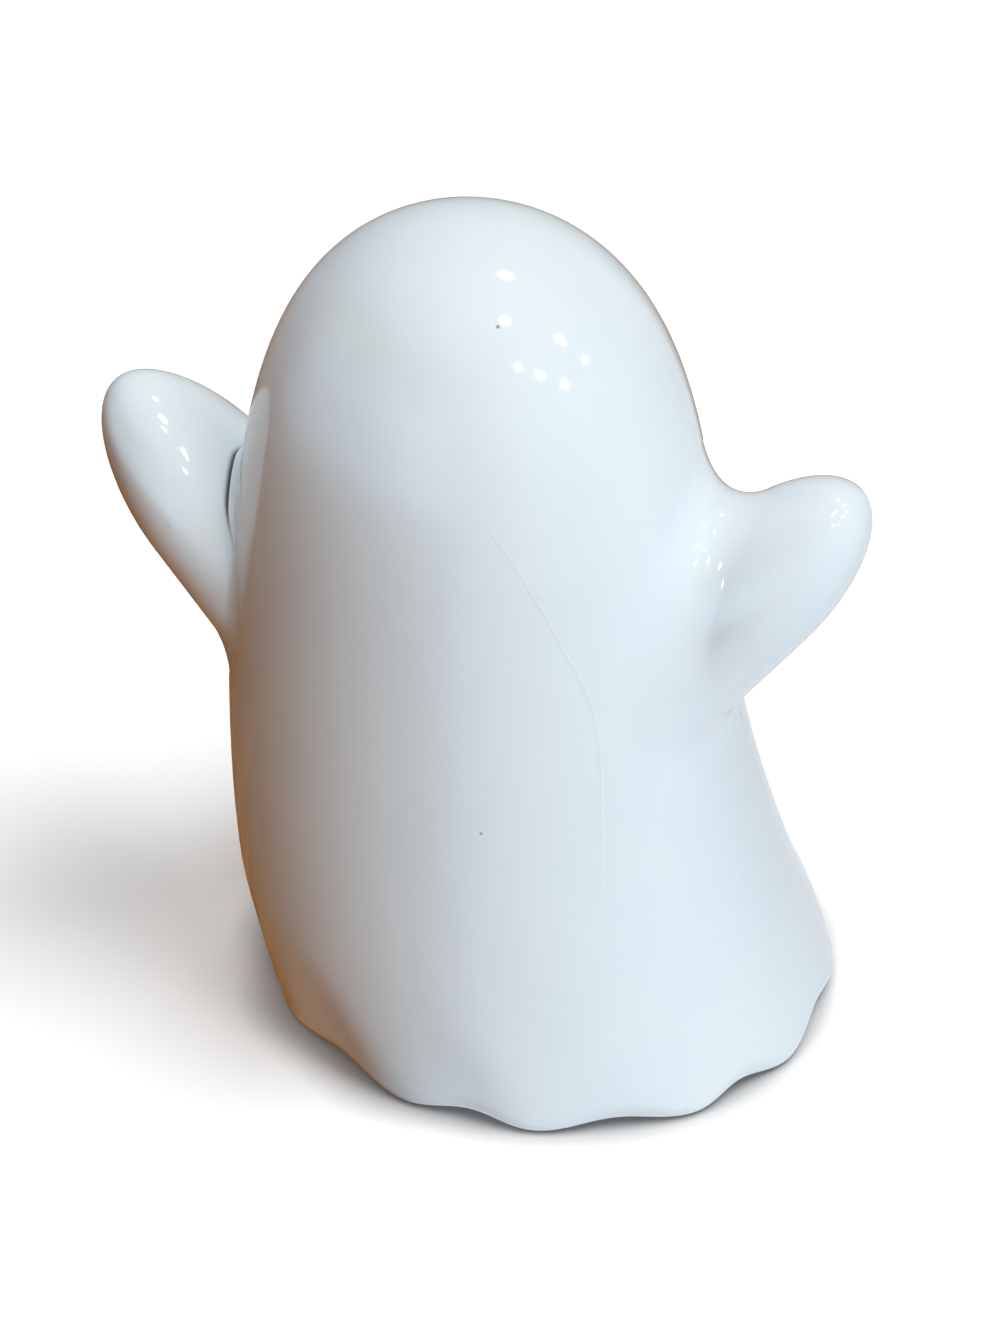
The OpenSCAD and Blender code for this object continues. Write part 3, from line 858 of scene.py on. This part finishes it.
# The camera, at the photograph's angle
YAW, ELEVATION = math.radians(-15.825), math.radians(37.307)
CAMERA_AT = (-133.857, 464.256, 432.528)
# Focal length and height of the photograph in its pixels, and the camera's sensor in millimetres
FOCAL_PIXELS, PHOTO_PIXELS, SENSOR = 3605.97, 1329, 24.0


def make_camera():
    back = np.array((math.sin(YAW) * math.cos(ELEVATION), math.cos(YAW) * math.cos(ELEVATION),
                     math.sin(ELEVATION)))
    right = unit(np.cross(-back, (0, 0, 1.0)))
    turned = Matrix(np.stack([right, np.cross(right, -back), back], -1).tolist()).to_4x4()
    place = (np.array(CAMERA_AT) - ORIGIN) * M_PER_MM
    camera = bpy.data.objects.new("camera", bpy.data.cameras.new("camera"))
    bpy.context.scene.collection.objects.link(camera)
    bpy.context.scene.camera = camera
    camera.matrix_world = Matrix.Translation(Vector(place)) @ turned
    camera.data.sensor_fit = "VERTICAL"
    camera.data.sensor_height = SENSOR
    camera.data.lens = FOCAL_PIXELS / PHOTO_PIXELS * SENSOR
    camera.data.clip_start, camera.data.clip_end = 0.01, 50


make_camera()

# Floor, world and lamps
FLOOR_PALE, FLOOR_GLOW = (0.93, 0.93, 0.93, 1), (0.15, 0.15, 0.15, 1)
BOUNCE_PALE, BOUNCE_WARM = (0.44, 0.453, 0.475, 1), (0.44, 0.145, 0.0, 1)
MIRROR_PALE = (0.82, 0.85, 0.90, 1)
WOOD_DARK, WOOD_LIGHT = (0.16, 0.06, 0.005, 1), (0.34, 0.15, 0.025, 1)
WOOD_GRAIN = (9.0, 60.0, 1.0)
BLACK, WHITE = (0, 0, 0, 1), (1, 1, 1, 1)
HIDDEN = (0.02, 0.02, 0.02, 1)
AMBIENT = (0.01, 0.01, 0.01, 1)
ROOM, WINDOW = (0.15, 0.15, 0.15, 1), (1.5, 2.1, 2.6, 1)
# Reach of the contact shadow, in metres, and half the floor's length
CONTACT_REACH, FLOOR_HALF = 0.009, 6.0
# How open the corner is where the shadow begins and ends, and what it leaves of the light
CONTACT = (0.3, 0.95, 0.15, 1.0)
# Sides of the figure, each with its azimuth and the cosines between which it begins: pale and
# window in the gloss, warm and pale in the bounced light
PALE_SIDE, WINDOW_SIDE = (262, 0.0, 0.28), (140, 0.3, 0.95)
WARM_BOUNCE, PALE_BOUNCE = (100, 0.1, 0.7), (236, 0.3, 0.85)
# Distances from the figure, in metres, over which the bounced light ends, the wood gives way to
# the room, and the floor turns fully white
BOUNCE_RUN, WOOD_RUN, WHITE_RUN = (0.7, 0.9), (0.2, 0.8), (0.25, 1.2)


def towards(n, where, azimuth, low, high):
    """1 for places on the given side of the figure, eased to 0 from one cosine to the other."""
    a = math.radians(azimuth)
    parts = n.add("ShaderNodeSeparateXYZ", {0: where}).outputs
    flat = n.vector("LENGTH", n.vector("MULTIPLY", where, (1, 1, 0)).outputs[0]).outputs["Value"]
    across = n.math("ADD", n.math("MULTIPLY", parts["X"], math.sin(a)),
                    n.math("MULTIPLY", parts["Y"], -math.cos(a)))
    return n.ramp(n.math("DIVIDE", across, n.math("MAXIMUM", flat, 0.001)), low, high)


def around(n, where):
    """What the gloss sees at the horizon: a dim room, a window on the left, pale on the right."""
    room = n.mix(towards(n, where, *WINDOW_SIDE), ROOM, WINDOW)
    return n.mix(towards(n, where, *PALE_SIDE), room, MIRROR_PALE)


def bounced_light(n, where, span):
    """Light that leaves the floor towards the figure, as off a wooden table: warm brown at the
    left, and pale at the right and behind the camera."""
    bounce = n.mix(towards(n, where, *WARM_BOUNCE), BLACK, BOUNCE_WARM)
    bounce = n.mix(towards(n, where, *PALE_BOUNCE), bounce, BOUNCE_PALE)
    return n.mix(n.ramp(span, *BOUNCE_RUN), bounce, BLACK)


def floor_in_gloss(n, where, span):
    """What the gloss sees of the floor: wood at the left, pale at the right, then the room."""
    grain = n.vector("MULTIPLY", where, WOOD_GRAIN).outputs[0]
    streaks = n.noise(grain, 3.0, detail=4.0, rough=0.6)
    wood = n.mix(n.ramp(streaks, 0.3, 0.7), WOOD_DARK, WOOD_LIGHT)
    wood = n.mix(towards(n, where, *PALE_SIDE), wood, MIRROR_PALE)
    return n.mix(n.ramp(span, *WOOD_RUN), wood, around(n, where))


def floor_material():
    """White to the camera, with the figure's shadow and a darker line of contact."""
    mat, n = new_material("pale_floor")
    where = n.add("ShaderNodeTexCoord").outputs["Object"]
    rays = n.add("ShaderNodeLightPath").outputs
    seen = n.math("MAXIMUM", rays["Is Camera Ray"], rays["Is Transmission Ray"])
    span = n.vector("LENGTH", where).outputs["Value"]
    corner = n.add("ShaderNodeAmbientOcclusion", {"Color": WHITE, "Distance": CONTACT_REACH},
                   samples=4)
    contact = n.ramp(corner.outputs["AO"], *CONTACT, eased_ends=False)
    colour = n.mix(contact, HIDDEN, n.mix(seen, HIDDEN, FLOOR_PALE))
    diffuse = n.add("ShaderNodeBsdfDiffuse", {"Color": colour})

    light = n.mix(rays["Is Diffuse Ray"], BLACK, bounced_light(n, where, span))
    light = n.mix(rays["Is Glossy Ray"], light, floor_in_gloss(n, where, span))
    pale = n.mix(n.ramp(span, *WHITE_RUN), n.mix(contact, BLACK, FLOOR_GLOW), WHITE)
    glow = n.add("ShaderNodeEmission", {"Color": n.mix(seen, light, pale), "Strength": 1.0})
    both = n.add("ShaderNodeAddShader", {0: diffuse.outputs[0], 1: glow.outputs[0]})
    n.add("ShaderNodeOutputMaterial", {"Surface": both.outputs[0]})
    return mat


corners = np.array([(-1, -1, 0), (1, -1, 0), (1, 1, 0), (-1, 1, 0)]) * FLOOR_HALF
floor = make_mesh("floor", corners * MM_PER_M, [(0, 1, 2, 3)])
floor.data.materials.append(floor_material())


def make_world():
    """White to the camera; in the gloss a dim room with a pale window low behind the left arm."""
    world = bpy.data.worlds.new("world")
    bpy.context.scene.world = world
    world.use_nodes = True
    n = Nodes(world.node_tree)
    rays = n.add("ShaderNodeLightPath").outputs
    way = n.add("ShaderNodeTexCoord").outputs["Generated"]
    up_share = n.add("ShaderNodeSeparateXYZ", {0: way}).outputs["Z"]
    room = n.mix(n.ramp(up_share, 0.1, 0.6), around(n, way), ROOM)
    sky = n.mix(rays["Is Glossy Ray"], AMBIENT, room)
    sky = n.mix(n.math("MAXIMUM", rays["Is Camera Ray"], rays["Is Transmission Ray"]), sky, WHITE)
    background = n.add("ShaderNodeBackground", {"Color": sky, "Strength": 1.0})
    n.add("ShaderNodeOutputWorld", {"Surface": background.outputs[0]})


make_world()


def lamp(name, azimuth, elevation, distance, size, level, colour, shape="SQUARE",
         target=(0, 0, HEIGHT / 2)):
    """An area lamp that lights a facing surface at the target to the given level."""
    a, e = math.radians(azimuth), math.radians(elevation)
    way = np.array((math.sin(a) * math.cos(e), -math.cos(a) * math.cos(e), math.sin(e)))
    data = bpy.data.lights.new(name, "AREA")
    data.shape, data.size, data.color = shape, size, colour
    data.energy = level * math.pi ** 2 * distance ** 2
    obj = bpy.data.objects.new(name, data)
    bpy.context.scene.collection.objects.link(obj)
    at = (np.array(target) - ORIGIN) * M_PER_MM + way * distance
    turned = Vector(way).to_track_quat("Z", "Y").to_matrix().to_4x4()
    obj.matrix_world = Matrix.Translation(Vector(at)) @ turned
    return obj


def only(light, objects):
    """The lamp lights nothing but these objects."""
    group = bpy.data.collections.new("lit_by_" + light.name)
    for obj in objects:
        group.objects.link(obj)
    light.light_linking.receiver_collection = group


# Large soft lamps, which don't show in the gloss: seven for the figure and three for the floor,
# each with its azimuth, elevation and level
SOFT = (("top", 0, 90, (0.22, 0.21, 0.21)), ("main", 225, 30, (0.50, 0.52, 0.52)),
        ("back", 205, 15, (0.10, 0.105, 0.12)), ("right_side", 240, 5, (0.21, 0.245, 0.285)),
        ("front", 0, 5, (0.56, 0.53, 0.49)),
        ("upper_left", 45, 40, (0.24, 0.28, 0.32)), ("high_left", 60, 70, (0.26, 0.255, 0.245)),
        ("floor_key", 270, 65, (1.06, 1.06, 1.06)), ("floor_front", 0, 5, (1.07, 1.07, 1.07)),
        ("floor_back", 200, 5, (1.57, 1.57, 1.57)))
SOFT_AWAY, SOFT_SIZE = 1.4, 0.8
for name, azimuth, elevation, levels in SOFT:
    level = max(levels)
    soft = lamp(name, azimuth, elevation, SOFT_AWAY, SOFT_SIZE, level, tuple(c / level for c in levels))
    soft.visible_glossy = soft.visible_camera = False
    only(soft, [floor] if name.startswith("floor") else pieces)

# Small bright lamps that give the glaze its points of light: where each shows, its azimuth and
# elevation seen from there, and its size
POINTS = (((-6.5, 10.3, 147.5), 337, 66, 0.12), ((-7.9, 17.1, 143.8), 244, 69, 0.10),
          ((-16.1, 14.9, 140.7), 271, 44, 0.105), ((-11.0, 21.3, 138.7), 225, 43, 0.085),
          ((-14.4, 20.3, 137.4), 239, 36, 0.09), ((-18.0, 19.0, 135.4), 251, 27, 0.085),
          ((-19.9, 14.7, 137.4), 273, 30, 0.06))
# The same for the arms and the right joint, seen in the gloss alone and each on its own piece
ARM_POINTS = {
    "glazed_left_arm": (((47.5, 10.2, 104.4), 251, 50, 0.17), ((52.8, 7.4, 109.2), 273, 70, 0.12)),
    "glazed_right_arm": (((-58.1, 6.7, 110.6), 225, 69, 0.10), ((-59.6, 6.3, 110.3), 252, 46, 0.10),
                         ((-59.5, 4.6, 111.4), 292, 60, 0.09)),
    "glazed_right_arm_luting": (((-37.8, 12.2, 101.1), 230, 26, 0.08), ((-39.5, 11.2, 101.5), 202, 44, 0.09),
                                ((-41.4, 11.3, 101.1), 154, 43, 0.09), ((-42.4, 13.4, 98.7), 132, 24, 0.08))}
# Their distance and tint, how bright the first ones are, and the level of the others
POINT_AWAY, POINT_TINT, POINT_BRIGHT, GLINT = 1.0, (1, 1, 0.97), 9, 0.09


def point(name, place, level, objects):
    """A small round lamp that lights only these objects."""
    target, azimuth, elevation, size = place
    light = lamp(name, azimuth, elevation, POINT_AWAY, size, level, POINT_TINT, "DISK", target)
    only(light, objects)
    return light


for i, place in enumerate(POINTS):
    point(f"point_{i}", place, POINT_BRIGHT * (place[3] / 2) ** 2, pieces)
for name, points in ARM_POINTS.items():
    own = [piece for piece in pieces if piece.name == name]
    for i, place in enumerate(points):
        point(f"{name}_point_{i}", place, GLINT, own).visible_diffuse = False

bpy.context.scene.view_settings.view_transform = "Standard"
